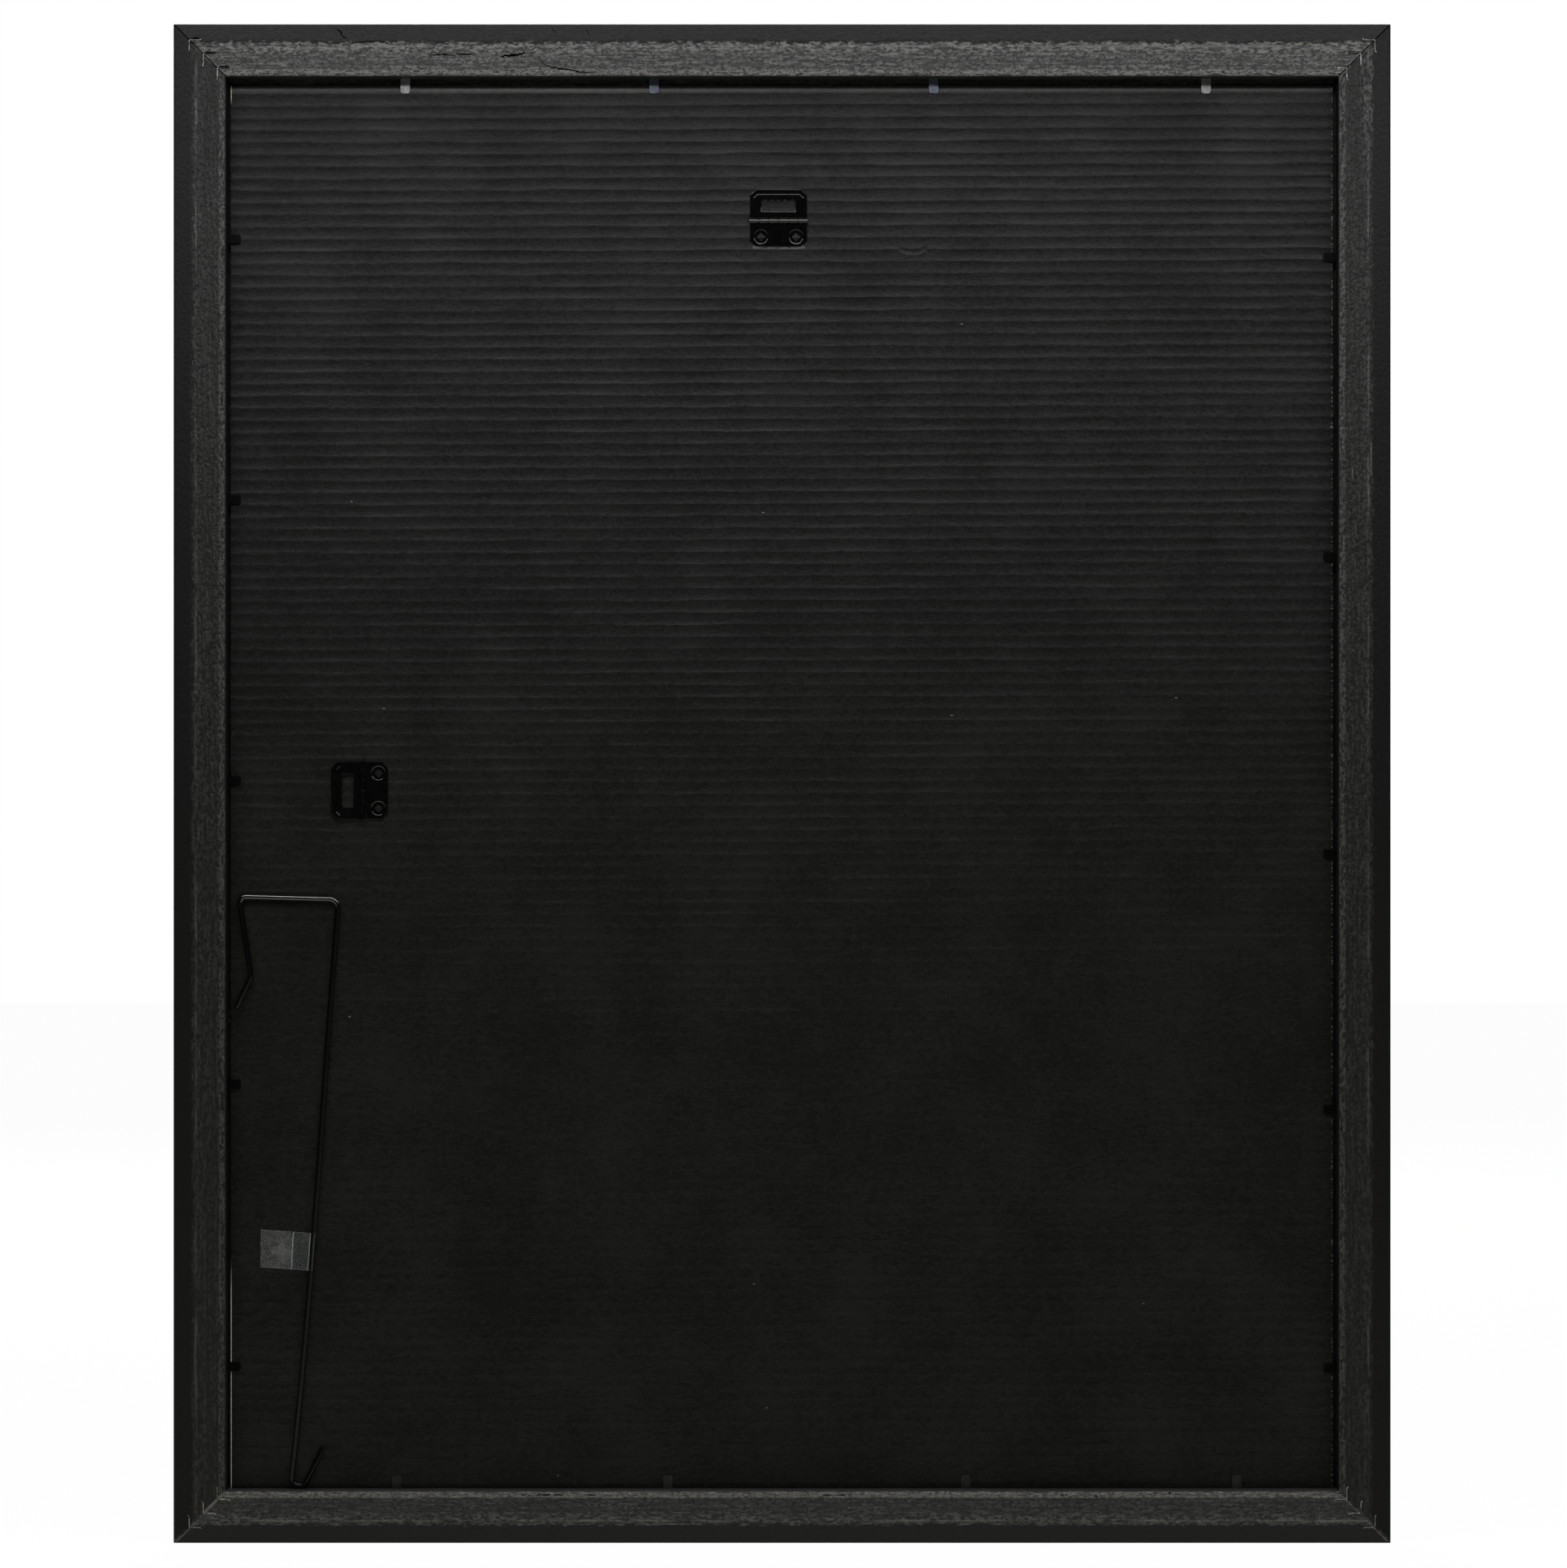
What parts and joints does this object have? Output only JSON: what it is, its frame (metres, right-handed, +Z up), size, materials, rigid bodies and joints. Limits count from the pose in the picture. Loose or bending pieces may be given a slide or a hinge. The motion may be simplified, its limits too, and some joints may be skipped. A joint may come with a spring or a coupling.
{
  "type": "poster frame",
  "caption": "Black poster frame with a recessed backing board held by flexible points, hinged sawtooth hangers and a wire stand taped in its back.",
  "frame": {"origin": "centre of the whole frame, halfway between its back and front planes", "axes": "+Z up in portrait use, +Y towards the front, so the back with the hangers faces -Y, and +X to the right as seen from behind"},
  "size_m": [0.6152, 0.021, 0.7676],
  "materials": {
    "moulding": "fibreboard, black foil wrap on the front and sides, raw black-stained fibre on the back",
    "corner_nail": "bare steel strip",
    "glazing": "clear flat sheet",
    "insert_paper": "plain matt paper",
    "board_liner": "black matt paperboard",
    "board_core": "brown fluted paper",
    "hanger": "gloss black pressed steel",
    "flexible_point": "soft bare steel strip",
    "stand_wire": "gloss black coated wire",
    "tape": "matt translucent tape"
  },
  "bodies": {
    "frame": {"top_rail": "moulding", "right_rail": "moulding", "bottom_rail": "moulding", "left_rail": "moulding", "top_left_corner_nail_1": "corner_nail", "top_left_corner_nail_2": "corner_nail", "top_left_corner_nail_3": "corner_nail", "top_right_corner_nail_1": "corner_nail", "top_right_corner_nail_2": "corner_nail", "top_right_corner_nail_3": "corner_nail", "bottom_left_corner_nail_1": "corner_nail", "bottom_left_corner_nail_2": "corner_nail", "bottom_left_corner_nail_3": "corner_nail", "bottom_right_corner_nail_1": "corner_nail", "bottom_right_corner_nail_2": "corner_nail", "bottom_right_corner_nail_3": "corner_nail", "glazing_sheet": "glazing", "poster_insert": "insert_paper", "board_front_liner": "board_liner", "board_fluted_core": "board_core", "board_back_liner": "board_liner", "top_hanger_fixed_leaf": "hanger", "top_hanger_hinge_pin": "hanger", "side_hanger_fixed_leaf": "hanger", "side_hanger_hinge_pin": "hanger"},
    "top_hanger_leaf": {"top_hanger_swing_leaf": "hanger"},
    "side_hanger_leaf": {"side_hanger_swing_leaf": "hanger"},
    "stand": {"wire_stand": "stand_wire", "packing_tape": "tape"},
    "top_point_1": {"top_flexible_point_1": "flexible_point"},
    "top_point_2": {"top_flexible_point_2": "flexible_point"},
    "top_point_3": {"top_flexible_point_3": "flexible_point"},
    "top_point_4": {"top_flexible_point_4": "flexible_point"},
    "right_point_1": {"right_flexible_point_1": "flexible_point"},
    "right_point_2": {"right_flexible_point_2": "flexible_point"},
    "right_point_3": {"right_flexible_point_3": "flexible_point"},
    "right_point_4": {"right_flexible_point_4": "flexible_point"},
    "right_point_5": {"right_flexible_point_5": "flexible_point"},
    "bottom_point_1": {"bottom_flexible_point_1": "flexible_point"},
    "bottom_point_2": {"bottom_flexible_point_2": "flexible_point"},
    "bottom_point_3": {"bottom_flexible_point_3": "flexible_point"},
    "bottom_point_4": {"bottom_flexible_point_4": "flexible_point"},
    "left_point_1": {"left_flexible_point_1": "flexible_point"},
    "left_point_2": {"left_flexible_point_2": "flexible_point"},
    "left_point_3": {"left_flexible_point_3": "flexible_point"},
    "left_point_4": {"left_flexible_point_4": "flexible_point"},
    "left_point_5": {"left_flexible_point_5": "flexible_point"}
  },
  "joints": [
    {"name": "top_hanger_fold", "type": "hinge", "parent": "frame", "child": "top_hanger_leaf", "pos_m": [-0.0018, -0.00085, 0.2853], "axis": [1, 0, 0], "range_deg": [0, 178]},
    {"name": "side_hanger_fold", "type": "hinge", "parent": "frame", "child": "side_hanger_leaf", "pos_m": [-0.2127, -0.00085, -0.0036], "axis": [0, 0, 1], "range_deg": [-4, 174]},
    {"name": "wire_stand_release", "type": "slide", "parent": "frame", "child": "stand", "axis": [0, -1, 0], "range_m": [0, 0.06]},
    {"name": "top_point_1_bend", "type": "hinge", "parent": "frame", "child": "top_point_1", "pos_m": [-0.1911, 0.0001, 0.3575], "axis": [-1, 0, 0], "range_deg": [0, 80], "deforming": ["top_flexible_point_1"]},
    {"name": "top_point_2_bend", "type": "hinge", "parent": "frame", "child": "top_point_2", "pos_m": [-0.0649, 0.0001, 0.3575], "axis": [-1, 0, 0], "range_deg": [0, 80], "deforming": ["top_flexible_point_2"]},
    {"name": "top_point_3_bend", "type": "hinge", "parent": "frame", "child": "top_point_3", "pos_m": [0.0769, 0.0001, 0.3575], "axis": [-1, 0, 0], "range_deg": [0, 80], "deforming": ["top_flexible_point_3"]},
    {"name": "top_point_4_bend", "type": "hinge", "parent": "frame", "child": "top_point_4", "pos_m": [0.215, 0.0001, 0.3575], "axis": [-1, 0, 0], "range_deg": [0, 80], "deforming": ["top_flexible_point_4"]},
    {"name": "right_point_1_bend", "type": "hinge", "parent": "frame", "child": "right_point_1", "pos_m": [0.2813, 0.0001, -0.2965], "axis": [0, 0, 1], "range_deg": [0, 80], "deforming": ["right_flexible_point_1"]},
    {"name": "right_point_2_bend", "type": "hinge", "parent": "frame", "child": "right_point_2", "pos_m": [0.2813, 0.0001, -0.1653], "axis": [0, 0, 1], "range_deg": [0, 80], "deforming": ["right_flexible_point_2"]},
    {"name": "right_point_3_bend", "type": "hinge", "parent": "frame", "child": "right_point_3", "pos_m": [0.2813, 0.0001, -0.0356], "axis": [0, 0, 1], "range_deg": [0, 80], "deforming": ["right_flexible_point_3"]},
    {"name": "right_point_4_bend", "type": "hinge", "parent": "frame", "child": "right_point_4", "pos_m": [0.2813, 0.0001, 0.115], "axis": [0, 0, 1], "range_deg": [0, 80], "deforming": ["right_flexible_point_4"]},
    {"name": "right_point_5_bend", "type": "hinge", "parent": "frame", "child": "right_point_5", "pos_m": [0.2813, 0.0001, 0.2669], "axis": [0, 0, 1], "range_deg": [0, 80], "deforming": ["right_flexible_point_5"]},
    {"name": "bottom_point_1_bend", "type": "hinge", "parent": "frame", "child": "bottom_point_1", "pos_m": [-0.1954, 0.0001, -0.3575], "axis": [1, 0, 0], "range_deg": [0, 80], "deforming": ["bottom_flexible_point_1"]},
    {"name": "bottom_point_2_bend", "type": "hinge", "parent": "frame", "child": "bottom_point_2", "pos_m": [-0.0579, 0.0001, -0.3575], "axis": [1, 0, 0], "range_deg": [0, 80], "deforming": ["bottom_flexible_point_2"]},
    {"name": "bottom_point_3_bend", "type": "hinge", "parent": "frame", "child": "bottom_point_3", "pos_m": [0.0931, 0.0001, -0.3575], "axis": [1, 0, 0], "range_deg": [0, 80], "deforming": ["bottom_flexible_point_3"]},
    {"name": "bottom_point_4_bend", "type": "hinge", "parent": "frame", "child": "bottom_point_4", "pos_m": [0.2306, 0.0001, -0.3575], "axis": [1, 0, 0], "range_deg": [0, 80], "deforming": ["bottom_flexible_point_4"]},
    {"name": "left_point_1_bend", "type": "hinge", "parent": "frame", "child": "left_point_1", "pos_m": [-0.2813, 0.0001, -0.2957], "axis": [0, 0, -1], "range_deg": [0, 80], "deforming": ["left_flexible_point_1"]},
    {"name": "left_point_2_bend", "type": "hinge", "parent": "frame", "child": "left_point_2", "pos_m": [-0.2813, 0.0001, -0.1525], "axis": [0, 0, -1], "range_deg": [0, 80], "deforming": ["left_flexible_point_2"]},
    {"name": "left_point_3_bend", "type": "hinge", "parent": "frame", "child": "left_point_3", "pos_m": [-0.2813, 0.0001, 0.0014], "axis": [0, 0, -1], "range_deg": [0, 80], "deforming": ["left_flexible_point_3"]},
    {"name": "left_point_4_bend", "type": "hinge", "parent": "frame", "child": "left_point_4", "pos_m": [-0.2813, 0.0001, 0.1439], "axis": [0, 0, -1], "range_deg": [0, 80], "deforming": ["left_flexible_point_4"]},
    {"name": "left_point_5_bend", "type": "hinge", "parent": "frame", "child": "left_point_5", "pos_m": [-0.2813, 0.0001, 0.276], "axis": [0, 0, -1], "range_deg": [0, 80], "deforming": ["left_flexible_point_5"]}
  ]
}
